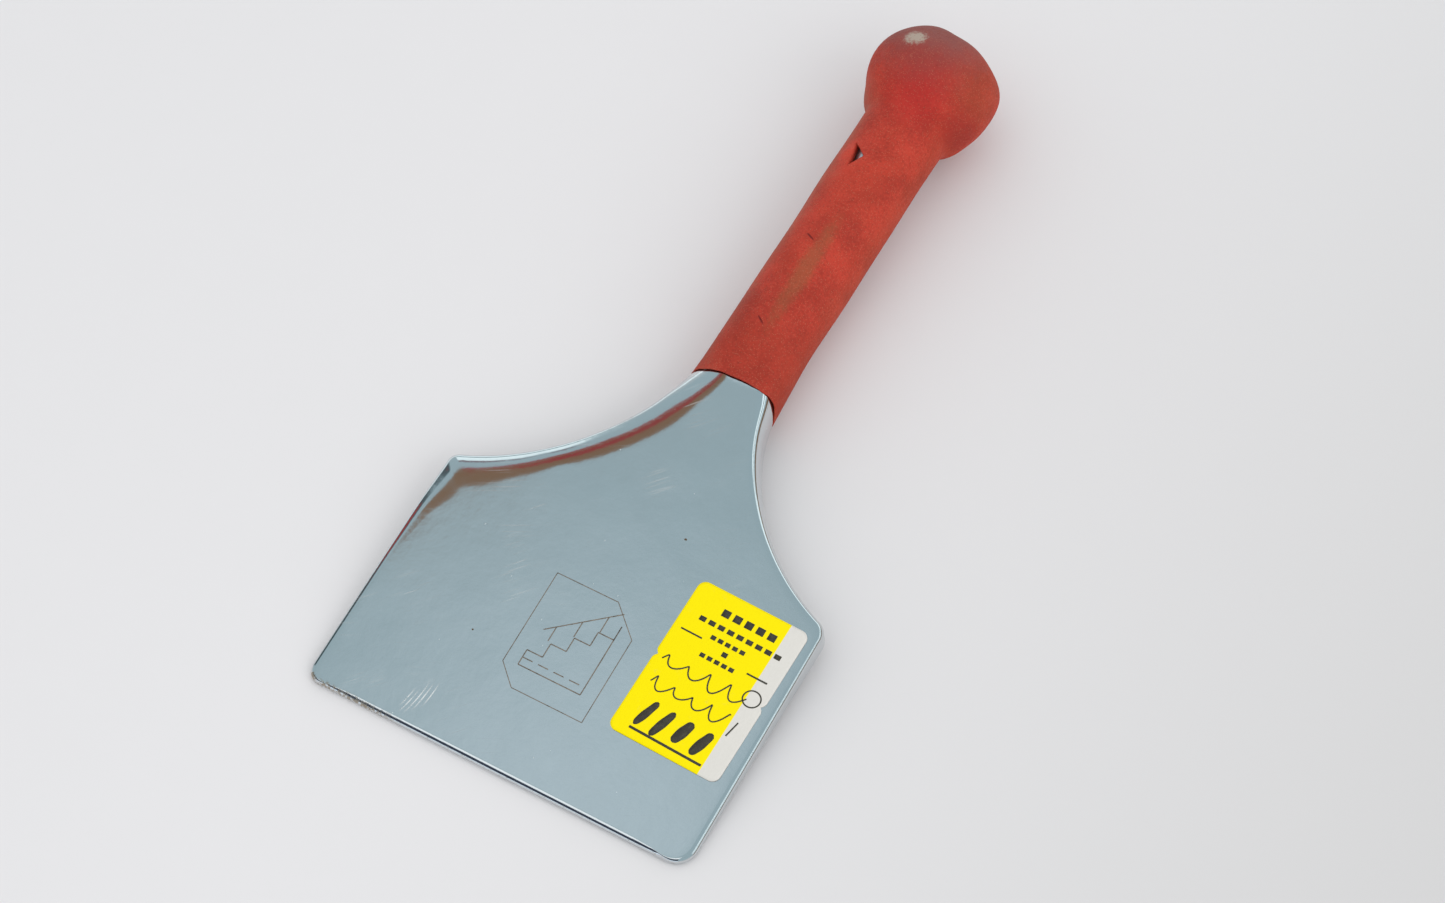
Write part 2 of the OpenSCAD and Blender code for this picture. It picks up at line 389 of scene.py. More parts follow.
def tear_open(y, phi):
    """Cells round the tear's window drawn to its rim: places from its middle, and its rows and columns.

    A cell's reach is its larger distance from the window's middle in half-windows. On its bearing the rim is
    read between the tear's corners, and the pull to it fades with the reach."""
    arc_at = GRIP_R * ((phi + math.pi) % (2 * math.pi) - math.pi)
    p, q = y - TEAR_AT[0], arc_at - TEAR_AT[1]
    rows = np.flatnonzero(np.abs(p[:, 0]) < TEAR_BOX)
    columns = np.flatnonzero(np.abs(q[0]) < TEAR_BOX)
    ends_p = p[rows[[0, -1]], 0]
    ends_q = np.array([q[0, columns].min(), q[0, columns].max()])
    from_p, from_q = p - ends_p.mean(), q - ends_q.mean()
    reach = np.maximum(np.abs(from_p) / (np.ptp(ends_p) / 2), np.abs(from_q) / (np.ptp(ends_q) / 2))
    corners = np.array(TEAR_RIM)
    bearing = np.arctan2(corners[:, 1], corners[:, 0])
    order = np.argsort(bearing)
    turns = np.concatenate([bearing[order] + turn for turn in (-2 * math.pi, 0, 2 * math.pi)])
    corners = np.tile(corners[order], (3, 1))
    share = np.interp(np.arctan2(from_q, from_p), turns, np.arange(len(turns)))
    low = np.floor(share).astype(int).clip(0, len(turns) - 2)
    part = (share - low)[..., None]
    rim = corners[low] * (1 - part) + corners[low + 1] * part
    pull = 1 - smooth_step(reach, 1, TEAR_PULL)
    p = p + pull * (rim[..., 0] - from_p / np.maximum(reach, 1))
    q = q + pull * (rim[..., 1] - from_q / np.maximum(reach, 1))
    return p, q, (rows, columns)


def grip_shell(columns=156):
    """Outer and inner skins of the grip on one grid of rows along the axis and columns round it.

    The section is a superellipse, wide and low at the mouth and round from the weld on. The mouth's rows
    lean and end in a ragged edge with two tongues, a bell-shaped lip stands up beside the tear, and sines
    make the whole a little uneven."""
    y, r = grip_profile()
    y, phi = np.meshgrid(y, np.linspace(0, 2 * math.pi, columns, endpoint=False), indexing="ij")
    r = np.repeat(r[:, None], columns, axis=1)
    p, q, window = tear_open(y, phi)
    y = p + TEAR_AT[0]
    phi = (q + TEAR_AT[1]) / GRIP_R

    lip = 0.85 * np.exp(-((p - 0.6) ** 2 + (q + 3.6) ** 2) / 3.2)
    uneven = 0.10 * np.sin(3 * phi + y / 9) + 0.07 * np.sin(2 * phi - y / 5.3)
    flare = np.interp(y, [MOUTH_Y, 141, 147, 154, 160], [1.15, 0.6, 0.25, 0.05, 0])
    squash = np.interp(y, [MOUTH_Y, 140, 148, 156, 161], [5.2, 3.7, 1.6, 0.4, 0])
    power = np.where(np.sin(phi) > 0, np.interp(y, [MOUTH_Y, 142, 158], [0.68, 0.78, 1.0]), 1.0)
    sine, cosine = np.sin(phi), np.cos(phi)
    x = (r + flare + uneven + lip) * np.sign(sine) * np.abs(sine) ** power
    z = (r - squash + uneven + lip) * np.sign(cosine) * np.abs(cosine) ** power
    ragged = 0.12 * np.sin(7 * phi + 1.0) * np.sin(3 * phi) + 0.05 * np.sin(17 * phi)
    turn = np.degrees(phi)
    tongue = sum(size * np.exp(-((turn - at) / 24) ** 2) for size, at in ((1.9, 100), (0.8, 262)))
    near_mouth = 1 - smooth_step(y, MOUTH_Y, 152)
    y_out = y + near_mouth * (MOUTH_LEAN * z + (ragged - tongue) * (1 - smooth_step(y, MOUTH_Y, 141)))
    outer = ball_dents(xyz(x, y_out, z))

    wall = np.interp(y, [MOUTH_Y, MOUTH_Y + 1.5, 146, 160], [0.35, 0.8, 1.4, 2.2])
    scale = np.where(y > INNER_FROM, (BALL_R + NECK_GAP) / BOOT_R, 1 - wall / np.maximum(r, 1e-6))
    inner = outer * xyz(scale, 1, scale)
    in_ball = smooth_step(y, INNER_FROM, INNER_TO)[..., None]
    on_steel = BALL_C + unit(outer - BALL_C) * (BALL_R + SKIN_GAP)
    return outer, inner * (1 - in_ball) + on_steel * in_ball, window


def grip_mesh():
    """Both skins joined at the lip and round the tear's rim, and closed at the ball's pole."""
    outer, inner, (rows, columns) = grip_shell()
    n, m = outer.shape[:2]
    quads = grid_faces(n, m, wrap=True).reshape(n - 1, m, 4)
    keep = np.ones((n - 1, m), bool)
    down = np.arange(rows[0], rows[-1])
    keep[np.ix_(down, columns[:-1])] = False
    skin = quads[keep]
    out = np.arange(m)
    after = (out + 1) % m
    lip = np.stack([out, out + n * m, after + n * m, after], -1)
    ring = np.concatenate([
        rows[0] * m + columns,
        (down + 1) * m + columns[-1],
        rows[-1] * m + columns[-2::-1],
        down[:0:-1] * m + columns[0],
    ])
    after = np.roll(ring, -1)
    wall = np.stack([ring, after, after + n * m, ring + n * m], -1)
    faces = np.concatenate([skin, skin[:, ::-1] + n * m, lip, wall])
    return np.concatenate([outer.reshape(-1, 3), inner.reshape(-1, 3)]), faces


# ---- label, print and mark

LABEL_AT = (41.3, 51.4)
LABEL_SIZE = (36.2, 51.2)
LABEL_TURN = math.radians(-1.8)
LABEL_T = 0.2
LABEL_R = 2.6
NOTCH_DEPTH = 1.0
NOTCH_HALF = 1.5
# Thickness, gap beneath and line width of the ink and of the etched mark.
INK_T, INK_GAP, PEN = 0.03, 0.04, 0.42
MARK_T, MARK_GAP, MARK_WIDTH, FRAME_WIDTH = 0.015, 0.004, 0.34, 0.26


def label_place(u, v, rise):
    """Points on the sloping top face from the label's axes, u across and v along, and its turn."""
    c, s = math.cos(LABEL_TURN), math.sin(LABEL_TURN)
    x, y = LABEL_AT[0] + c * u - s * v, LABEL_AT[1] + s * u + c * v
    return xyz(x, y, top_height(y) + rise)


def label_outline():
    """Rounded rectangle from corner arcs and sides; the long sides dip half-way, as a power of v."""
    half_u, half_v = LABEL_SIZE[0] / 2, LABEL_SIZE[1] / 2
    corners = []
    for k, (su, sv) in enumerate([(1, 1), (-1, 1), (-1, -1), (1, -1)]):
        middle = np.array([su * (half_u - LABEL_R), sv * (half_v - LABEL_R)])
        corners.append(arc(middle, LABEL_R, k * math.pi / 2, (k + 1) * math.pi / 2, 10))
    side_v = np.linspace(-1, 1, 61) * (half_v - LABEL_R)
    dip = NOTCH_DEPTH * np.clip(1 - np.abs(side_v) / NOTCH_HALF, 0, 1) ** 1.6
    right = xyz(half_u - dip, side_v)[1:-1]
    left = xyz(dip - half_u, side_v)[::-1][1:-1]
    return np.concatenate([right, corners[0], corners[1], left, corners[2], corners[3]])


def label_mesh():
    """A thin sheet: rings from the middle of its top out to the rim, down the rim and back underneath.

    The corners lift a little, as a power of the distance from the middle."""
    rim = label_outline()
    share = np.array([0.0, 0.25, 0.5, 0.75, 0.9, 0.97, 1.0, 1.0, 0.97, 0.5, 0.0])[:, None]
    level = np.array([1, 1, 1, 1, 1, 1, 0.8, 0.1, 0, 0, 0])[:, None]
    u, v = share * rim[:, 0], share * rim[:, 1]
    curl = 0.12 * (np.abs(u) / LABEL_SIZE[0] * np.abs(v) / LABEL_SIZE[1] * 4) ** 4
    wave = 0.02 * (1 + np.sin(v / 3.1 + u / 7)) * share
    points = label_place(u, v, 0.01 + LABEL_T * level + curl + wave)
    return points, grid_faces(len(share), len(rim), wrap=True)


def ribbon(path, width, thickness, base, place):
    """A flat strip along a plan path: each path point gives four corners, half the width to either side of
    the path's direction, at two heights; both ends are closed by quads."""
    ahead = unit(np.gradient(path, axis=0))
    side = xyz(-ahead[:, 1], ahead[:, 0]) * np.broadcast_to(width, len(path))[:, None] / 2
    a, b = path + side, path - side
    low, high = np.full(len(path), base), np.full(len(path), base + thickness)
    corners = np.stack([place(*a.T, low), place(*a.T, high), place(*b.T, high), place(*b.T, low)], 1)
    n = len(path)
    ends = [[0, 1, 2, 3], [4 * n - 1, 4 * n - 2, 4 * n - 3, 4 * n - 4]]
    return corners.reshape(-1, 3), np.concatenate([grid_faces(n, 4, wrap=True), ends])


def joined(strips):
    """Points and faces of several strips as one list, each strip's faces moved past the ones before."""
    points, faces, count = [], [], 0
    for p, f in strips:
        points.append(p)
        faces.append(f + count)
        count += len(p)
    return np.concatenate(points), np.concatenate(faces)


def scribble(start, length, height, seed, steps=90):
    """A loose wavy pen line with no letters in it: sines of seeded rate along a straight run."""
    rng = np.random.default_rng(seed)
    t = np.linspace(0, 1, steps)
    waves = 4.5 + rng.uniform(-0.5, 0.5)
    u = start[0] + length * t + 0.8 * np.sin(2 * math.pi * waves * t + 1)
    v = start[1] + height * np.sin(2 * math.pi * waves * t) * (0.75 + 0.25 * np.sin(7 * t + seed))
    return xyz(u, v)


def print_strips():
    """Generic marks on the label: printed bars above, two pen lines half-way, thick marker bars below."""
    strips = []

    def lay(path, width):
        strips.append(ribbon(path, width, INK_T, LABEL_T + INK_GAP, label_place))

    bars = ((19.6, -7.5, 11.5, 2.3, 5), (15.2, -12.5, 15.5, 1.5, 9), (11.6, -6.5, 5.5, 1.3, 5),
            (8.6, -1.0, 1.6, 1.5, 1), (5.6, -6.5, 5.5, 1.3, 5))
    for v, u0, u1, width, gaps in bars:
        edges = np.linspace(u0, u1, gaps + 1)
        for k in range(gaps):
            lay(np.linspace((edges[k], v), (edges[k] + (u1 - u0) / gaps * 0.66, v), 3), width)
    for v, u0, u1 in ((9.9, -15.5, -8.5), (6.9, 8.3, 15.0)):
        lay(np.linspace((u0, v), (u1, v), 6), 0.5)
    lay(scribble((-16.0, -0.6), 27.5, 2.6, 3), PEN)
    lay(scribble((-15.2, -8.0), 26.0, 2.3, 8), PEN)
    lay(arc((13.6, 0.9), np.array([2.7, 2.5]), 0, 2 * math.pi, 40), PEN)
    lay(np.linspace((14.0, -7.0), (12.9, -12.0), 6), PEN)
    thick = ((-10.3, -17.0, 8.8, 2.3), (-4.6, -17.6, 9.2, 2.5), (1.8, -17.0, 7.6, 3.1),
             (8.2, -17.4, 8.2, 2.9))
    for u, v, tall, wide in thick:
        t = np.linspace(-0.5, 0.5, 16)
        swell = wide * np.sqrt(np.clip(1 - (2 * t) ** 6, 0.05, 1)) * (1 + 0.08 * np.sin(9 * t + u))
        lay(xyz(u + 0.35 * tall * t, v + tall * t), swell)
    lay(np.linspace((-12.5, -22.6), (11.5, -22.9), 6), 0.8)
    return strips


def mark_strips():
    """A generic engraved mark: a frame with cut corners round a flight of steps and a slanting rail."""

    def place(x, y, rise):
        return xyz(x, y, top_height(y) + rise)

    border = [(-14.5, 30), (-14.5, 60.5), (6, 60.5), (15.5, 52), (15.5, 24), (-8, 24), (-14.5, 30)]
    left, tread, foot, rise = -10, 5.2, 36, 4.6
    steps = [(left, 31), (left, foot)]
    for k in range(4):
        edge_x = left + tread * (k + 1)
        steps += [(edge_x, foot + rise * k), (edge_x, foot + rise * (k + 1))]
    steps += [(left + 4 * tread, 31), (left, 31)]
    rail = [(-9, 43.5), (9.5, 58)]
    posts = [[(-6, 41), (-6, 45.8)], [(0, 45.4), (0, 50.5)], [(6, 50), (6, 55.2)]]
    dashes = [[(left + tread * k, 33.5), (left + tread * k + 3.4, 33.5)] for k in range(4)]
    strips = []
    for line in [border, steps, rail, *posts, *dashes]:
        width = FRAME_WIDTH if line is border else MARK_WIDTH
        for start, end in zip(line[:-1], line[1:]):
            strips.append(ribbon(np.linspace(start, end, 3), width, MARK_T, MARK_GAP, place))
    return strips


# ---- node helpers


class Tree:
    """A node tree with short calls: each adds one node, sets or links its inputs and gives back a socket."""

    def __init__(self, tree):
        self.tree = tree

    def node(self, kind, inputs=None, **settings):
        made = self.tree.nodes.new(kind)
        for key, value in settings.items():
            setattr(made, key, value)
        for key, value in (inputs or {}).items():
            self.put(made.inputs[key], value)
        return made

    def put(self, socket, value):
        if isinstance(value, bpy.types.NodeSocket):
            self.tree.links.new(value, socket)
        else:
            socket.default_value = (*value, 1.0) if socket.type == "RGBA" else value

    def math(self, operation, a, b=0.0, clamp=False):
        return self.node("ShaderNodeMath", {0: a, 1: b}, operation=operation, use_clamp=clamp).outputs[0]

    def times(self, a, b):
        return self.math("MULTIPLY", a, b)

    def most(self, a, b):
        return self.math("MAXIMUM", a, b)

    def rest(self, a):
        """One less the value."""
        return self.math("SUBTRACT", 1.0, a)

    def vector(self, operation, a, b=(0, 0, 0), out=0):
        return self.node("ShaderNodeVectorMath", {0: a, 1: b}, operation=operation).outputs[out]

    def far(self, a, b):
        """Distance between two points."""
        return self.vector("LENGTH", self.vector("SUBTRACT", a, b), out="Value")

    def mix(self, factor, a, b):
        return self.node("ShaderNodeMix", {0: factor, 6: a, 7: b}, data_type="RGBA").outputs[2]

    def blend(self, factor, a, b):
        return self.node("ShaderNodeMix", {0: factor, 2: a, 3: b}, data_type="FLOAT").outputs[0]

    def axes(self, position):
        return self.node("ShaderNodeSeparateXYZ", {0: position}).outputs

    def ramp(self, value, low, high):
        """0 at low and 1 at high, with a smooth step between."""
        made = self.node("ShaderNodeMapRange", {0: value, 1: low, 2: high}, interpolation_type="SMOOTHSTEP")
        return made.outputs[0]

    def noise(self, position, scale, detail=2.0, roughness=0.5):
        inputs = {"Vector": position, "Scale": scale, "Detail": detail, "Roughness": roughness}
        return self.node("ShaderNodeTexNoise", inputs).outputs["Fac"]

    def scaled(self, position, factors, shift=(0, 0, 0), turn=(0, 0, 0)):
        inputs = {"Vector": position, "Scale": factors, "Location": shift, "Rotation": turn}
        return self.node("ShaderNodeMapping", inputs).outputs[0]

    def turned(self, position, angle, centre=(0, 0, 0)):
        """Turned about the tool's z axis at a centre."""
        inputs = {"Vector": position, "Center": centre, "Angle": angle}
        return self.node("ShaderNodeVectorRotate", inputs, rotation_type="Z_AXIS").outputs[0]

    def group(self, name, at=None, **inputs):
        made = self.node("ShaderNodeGroup", node_tree=bpy.data.node_groups[name])
        if at is not None:
            inputs["Position"] = at
        for key, value in inputs.items():
            self.put(made.inputs[key], value)
        return made.outputs[0]

    def spot(self, at, centre, size, ragged, scale, soft):
        return self.group("Spot", at, Centre=centre, Size=size, Ragged=ragged, Scale=scale, Soft=soft)

    def specks(self, at, shift, scale, size, share):
        moved = self.vector("ADD", at, shift) if any(shift) else at
        return self.group("Specks", moved, Scale=scale, Size=size, Share=share)

    def bump(self, height, distance, strength=1.0, normal=None):
        made = self.node("ShaderNodeBump", {"Height": height, "Distance": distance, "Strength": strength})
        if normal is not None:
            self.put(made.inputs["Normal"], normal)
        return made.outputs[0]


FLOAT, VECTOR = "NodeSocketFloat", "NodeSocketVector"


def new_group(name, **inputs):
    """A shader group with a position and named values as inputs and one output, a mask or, for a tool
    position, a vector; gives its Tree, its input sockets and an end function."""
    made = bpy.data.node_groups.new(name, "ShaderNodeTree")
    for label, value in inputs.items():
        kind = FLOAT if isinstance(value, float) else VECTOR
        made.interface.new_socket(name=label, in_out="INPUT", socket_type=kind).default_value = value
    made.interface.new_socket(name="Value", in_out="OUTPUT", socket_type=FLOAT if inputs else VECTOR)
    start = made.nodes.new("NodeGroupInput")
    end = made.nodes.new("NodeGroupOutput")
    return Tree(made), start.outputs, lambda socket: made.links.new(socket, end.inputs[0])


def tool_space_group(name):
    """Position in tool millimetres from Object coordinates, turned back by the tilt and moved."""
    tree, _, end = new_group(name)
    where = tree.node("ShaderNodeTexCoord").outputs["Object"]
    c, s = math.cos(-TILT), math.sin(-TILT)
    o = ORIGIN_M / MM
    shift = (-o[0], -(c * o[1] - s * o[2]), -(s * o[1] + c * o[2]))
    end(tree.scaled(where, (1 / MM,) * 3, shift, (-TILT, 0, 0)))


def spot_group(name):
    """A soft ragged patch: 1 inside an ellipsoid and 0 outside, its edge broken by noise."""
    tree, put, end = new_group(name, Position=(0, 0, 0), Centre=(0, 0, 0), Size=(1, 1, 1), Ragged=0.3,
                               Scale=1.0, Soft=0.5)
    away = tree.vector("DIVIDE", tree.vector("SUBTRACT", put["Position"], put["Centre"]), put["Size"])
    noise = tree.math("SUBTRACT", tree.noise(put["Position"], put["Scale"], 4.0, 0.6), 0.5)
    edge = tree.math("ADD", tree.vector("LENGTH", away, out="Value"),
                     tree.times(noise, tree.times(put["Ragged"], 4.0)))
    end(tree.rest(tree.ramp(edge, tree.rest(put["Soft"]), tree.math("ADD", 1.0, put["Soft"]))))


def speckle_group(name):
    """Scattered round specks: cells whose centre is near, thinned out by each cell's own random value."""
    tree, put, end = new_group(name, Position=(0, 0, 0), Scale=0.2, Size=0.1, Share=0.2)
    cells = tree.node("ShaderNodeTexVoronoi", {"Vector": put["Position"], "Scale": put["Scale"]})
    near = tree.math("LESS_THAN", cells.outputs["Distance"], put["Size"])
    chance = tree.node("ShaderNodeSeparateColor", {0: cells.outputs["Color"]}).outputs[0]
    end(tree.times(near, tree.math("LESS_THAN", chance, put["Share"])))


def scratch_group(name):
    """Fine straight scratches: the peaks of a noise that is long one way, shown only in patches."""
    tree, put, end = new_group(name, Position=(0, 0, 0), Turn=0.0, Fine=4.0, Amount=0.5)
    stretched = tree.vector("MULTIPLY", tree.turned(put["Position"], put["Turn"]), (1.0, 0.02, 0.02))
    peak = tree.ramp(tree.noise(stretched, put["Fine"], 0.0), 0.68, 0.78)
    patch = tree.ramp(tree.noise(put["Position"], 0.05, 2.0), 0.53, 0.7)
    end(tree.times(tree.times(peak, patch), put["Amount"]))


def arc_scratch_group(name):
    """One curved scratch: near a circle's line in plan and inside a spot along it, broken by noise."""
    tree, put, end = new_group(name, Position=(0, 0, 0), Centre=(0, 0, 0), Radius=30.0, Width=0.08,
                               Middle=(0, 0, 0), Reach=6.0)
    plan = tree.vector("MULTIPLY", tree.vector("SUBTRACT", put["Position"], put["Centre"]), (1, 1, 0))
    off = tree.math("SUBTRACT", tree.vector("LENGTH", plan, out="Value"), put["Radius"])
    line = tree.math("LESS_THAN", tree.math("ABSOLUTE", off), put["Width"])
    away = tree.math("DIVIDE", tree.far(put["Position"], put["Middle"]), put["Reach"])
    broken = tree.ramp(tree.noise(put["Position"], 0.7, 2.0), 0.25, 0.42)
    end(tree.times(tree.times(line, tree.math("SUBTRACT", 1.0, away, clamp=True)), broken))


def grain_group(name):
    """Fine two-scale grain about one half, for colour variation and bump."""
    tree, put, end = new_group(name, Position=(0, 0, 0), Coarse=0.3, Fine=3.0)
    coarse = tree.noise(put["Position"], put["Coarse"], 4.0, 0.6)
    fine = tree.noise(put["Position"], put["Fine"], 3.0, 0.6)
    end(tree.math("ADD", tree.times(coarse, 0.55), tree.times(fine, 0.45)))


GROUPS = {"Tool space": tool_space_group, "Spot": spot_group, "Specks": speckle_group,
          "Scratches": scratch_group, "Arc scratch": arc_scratch_group, "Grain": grain_group}


def shade(colour, share):
    """A colour times a share."""
    return tuple(share * c for c in colour)


def surface(name, colour, **constants):
    """A material whose Principled shader has constant values on its own sockets; gives the material, its
    Tree, the tool position and a function that sets or links the shader's inputs."""
    for title, build in GROUPS.items():
        if title not in bpy.data.node_groups:
            build(title)
    made, tree = new_material(name)
    made.diffuse_color = (*colour, 1.0)

    def finish(**values):
        for key, value in values.items():
            tree.put(made.node_tree.nodes["Principled BSDF"].inputs[key.replace("_", " ")], value)

    finish(**constants)
    return made, tree, tree.group("Tool space"), finish


# ---- materials


# Curved scratches round one centre: radius, the middle of the part that shows, and its reach.
ARC_CENTRE = (-75, 16, 0)
ARC_SCRATCHES = [(45.2, (-30.5, 9, 0), 7), (46.4, (-29, 10, 0), 6), (43.9, (-31.8, 7, 0), 5),
                 (47.9, (-27.6, 11.5, 0), 5), (42.7, (-32.9, 8, 0), 4)]


def chrome_material(look):
    """Worn chrome: a wavy near-mirror with scratches, specks and a front edge worn to steel."""
    made, tree, at, finish = surface("worn_chrome", look.chrome)
    grain = tree.group("Grain", at, Coarse=0.08, Fine=1.7)
    colour = tree.mix(grain, shade(look.chrome, 0.93), shade(look.chrome, 1.06))
    plate = look.plate_roughness
    roughness = tree.blend(tree.noise(at, 0.05, 3.0), plate * 0.8, plate * 1.3)

    x, y = tree.axes(at)[:2]
    fine = tree.group("Scratches", at, Turn=0.75, Fine=3.2, Amount=0.5)
    away = tree.vector("ADD", at, (31, 57, 0))
    lines = tree.most(fine, tree.group("Scratches", away, Turn=1.1, Fine=2.4, Amount=0.28))
    lines = tree.times(lines, tree.math("ADD", 0.3, tree.ramp(x, 5, -25), clamp=True))
    for radius, middle, reach in ARC_SCRATCHES:
        lines = tree.most(lines, tree.group("Arc scratch", at, Centre=ARC_CENTRE, Radius=radius, Width=0.17,
                                            Middle=middle, Reach=reach))
    colour = tree.mix(tree.times(lines, 0.75), colour, (0.92, 0.93, 0.92))
    roughness = tree.blend(lines, roughness, 0.5)

    bright = tree.specks(at, (0, 0, 0), 0.26, 0.045, 0.3)
    colour = tree.mix(bright, colour, (0.95, 0.95, 0.93))
    dark = tree.specks(at, (37, 11, 5), 0.11, 0.035, 0.10)
    speck = tree.spot(at, (13.4, 86.2, 4.2), (0.45, 0.3, 2), 0.2, 2.0, 0.3)
    colour = tree.mix(tree.most(dark, speck), colour, (0.22, 0.13, 0.07))
    roughness = tree.blend(tree.most(tree.most(bright, dark), speck), roughness, 0.55)

    chips = tree.ramp(tree.noise(at, 0.9, 4.0, 0.7), 0.46, 0.56)
    worn = tree.times(tree.times(tree.ramp(y, 2.0, 0.4), tree.ramp(x, -28, -40)), chips)
    corner = tree.spot(at, (-61.9, 0.9, -1.9), (1.5, 1.2, 2.0), 0.4, 1.3, 0.12)
    rubbed = tree.times(tree.ramp(y, 1.0, 0.2), tree.ramp(tree.noise(at, 1.4, 3.0, 0.7), 0.55, 0.65))
    worn = tree.most(tree.most(worn, corner), tree.times(rubbed, 0.5))
    steel = tree.mix(tree.noise(at, 2.2, 4.0, 0.7), (0.16, 0.12, 0.08), (0.62, 0.56, 0.47))

    wavy = tree.bump(tree.noise(at, 0.045, 2.0, 0.4), 0.25 * MM, 0.5)
    ripples = tree.bump(tree.noise(at, 0.4, 3.0, 0.6), 0.025 * MM, 0.6, wavy)
    pits = tree.math("SUBTRACT", tree.noise(at, 2.0, 3.0, 0.7), 1.0)
    finish(Base_Color=tree.mix(worn, colour, steel), Roughness=tree.blend(worn, roughness, 0.42),
           Metallic=tree.rest(tree.times(lines, 0.6)),
           Normal=tree.bump(pits, tree.times(worn, 0.12 * MM), 1.0, ripples))
    return made


# Patches on the vinyl in the order they are laid: centre, half size, raggedness, noise scale, softness,
# strength and tint. First the dusty left side, whose strength dust breaks up.
DUST = ((-13, 205, 2), (8, 75, 9), 0.2, 0.12, 0.55, 0.52, (0.34, 0.18, 0.12))
PATCHES = [
    ((17, 262, 9), (10, 16, 13), 0.2, 0.1, 0.6, 0.25, (0.30, 0.085, 0.04)),  # grime low on the ball
    ((13, 190, -2), (6, 70, 8), 0.25, 0.1, 0.6, 0.2, (0.38, 0.10, 0.045)),  # grime along the right
    ((2.2, 176, 13), (2.4, 18, 5), 0.35, 0.35, 0.6, 0.42, (0.22, 0.11, 0.045)),  # streak of dirt
    ((2.5, 248, 15), (9.5, 11, 10), 0.15, 0.15, 0.7, 0.6, (0.45, 0.024, 0.024)),  # clean, bright red
    ((17, 246, 4), (6, 6, 8), 0.15, 0.2, 0.6, 0.5, (0.27, 0.02, 0.02)),  # painted shade in the crease between tube and ball
    ((-4, 262, 18), (16, 12, 10), 0.15, 0.2, 0.55, 0.75, (0.26, 0.052, 0.045)),  # dull crown
    ((-5, 269, 16), (18, 9, 12), 0.22, 0.25, 0.55, 0.8, (0.25, 0.085, 0.075)),  # duller end
    ((-6.8, 262.3, 19), (3.4, 2.7, 3.5), 0.42, 0.9, 0.4, 0.95, (0.42, 0.35, 0.29)),  # rubbed grey
]
# The tear's raised lip: a lighter red painted on as a highlight where it stands up.
LIP_HIGHLIGHT = ((-8.6, 221, 11.2), (2.6, 4.0, 3), 0.1, 0.5, 0.5, 0.6, (0.60, 0.07, 0.045))
# Middle and turn of each cut.
NICKS = [((-1, 156, 13.3), -0.95), ((-2, 187.7, 13.4), -1.1)]


def vinyl_material(look):
    """Old red vinyl: matt, speckled, dusty along the left, with a dirt streak, a rubbed ball and nicks."""
    made, tree, at, finish = surface("red_vinyl", look.vinyl, Specular_IOR_Level=0.12)
    grain = tree.group("Grain", at, Coarse=0.09, Fine=1.4)
    colour = tree.mix(tree.ramp(grain, 0.36, 0.64), shade(look.vinyl, 0.80), shade(look.vinyl, 1.2))
    blotch = tree.ramp(tree.noise(at, 0.055, 3.0, 0.6), 0.45, 0.65)
    colour = tree.mix(tree.times(blotch, 0.3), colour, (0.50, 0.055, 0.028))
    dust = tree.ramp(tree.noise(at, 0.8, 5.0, 0.7), 0.42, 0.7)

    def patch(colour, centre, size, ragged, scale, soft, strength, tint, share=None):
        mask = tree.spot(at, centre, size, ragged, scale, soft)
        mask = mask if share is None else tree.times(mask, share)
        return tree.mix(tree.times(mask, strength), colour, tint)

    colour = patch(colour, *DUST, share=tree.math("ADD", 0.35, dust))
    # Among the patches, one is painted shade in the crease between tube and ball.
    for values in PATCHES:
        colour = patch(colour, *values)
    low = tree.ramp(tree.axes(at)[1], 178, 145)
    colour = tree.mix(tree.times(low, 0.32), colour, (0.25, 0.032, 0.018))
    # Painted highlight on the tear's raised lip.
    colour = patch(colour, *LIP_HIGHLIGHT)

    pale, dirt = tree.specks(at, (0, 0, 0), 2.4, 0.3, 0.4), tree.specks(at, (9, 3, 7), 1.2, 0.3, 0.35)
    colour = tree.mix(tree.times(pale, 0.4), colour, (0.50, 0.19, 0.11))
    colour = tree.mix(tree.times(dirt, 0.3), colour, (0.20, 0.03, 0.02))
    cuts = [tree.spot(tree.turned(at, turn, centre), centre, (0.28, 1.7, 1.5), 0.05, 1.0, 0.3)
            for centre, turn in NICKS]
    nicks = tree.most(*cuts)
    colour = tree.mix(tree.times(nicks, 0.85), colour, (0.14, 0.012, 0.012))

    height = tree.math("SUBTRACT", tree.noise(at, 1.6, 4.0, 0.65), nicks)
    lumps = tree.bump(tree.noise(at, 0.12, 3.0, 0.55), 0.5 * MM, 0.5)
    finish(Base_Color=colour, Roughness=tree.blend(dust, 0.62, 0.85),
           Normal=tree.bump(height, 0.12 * MM, 0.6, lumps))
    return made


def paper_material(look):
    """Label stock: bright yellow with a white strip along its right side, faint fibres and handling."""
    made, tree, at, finish = surface("label_paper", look.label, Roughness=0.6, Specular_IOR_Level=0.04)
    flat = tree.vector("SUBTRACT", at, (*LABEL_AT, 0))
    strip = tree.ramp(tree.axes(tree.turned(flat, -LABEL_TURN))[0], 11.85, 12.05)
    fibre = tree.noise(tree.scaled(at, (1, 0.4, 1)), 1.8, 4.0, 0.7)
    yellow = tree.mix(fibre, shade(look.label, 0.94), shade(look.label, 1.05))
    white = tree.mix(fibre, (0.66, 0.65, 0.61), (0.75, 0.74, 0.70))
    grubby = tree.ramp(tree.noise(at, 0.35, 4.0, 0.65), 0.6, 0.8)
    colour = tree.mix(tree.times(grubby, 0.16), tree.mix(strip, yellow, white), (0.45, 0.38, 0.18))
    finish(Base_Color=colour, Normal=tree.bump(tree.noise(at, 1.2, 3.0, 0.6), 0.03 * MM, 0.5))
    return made


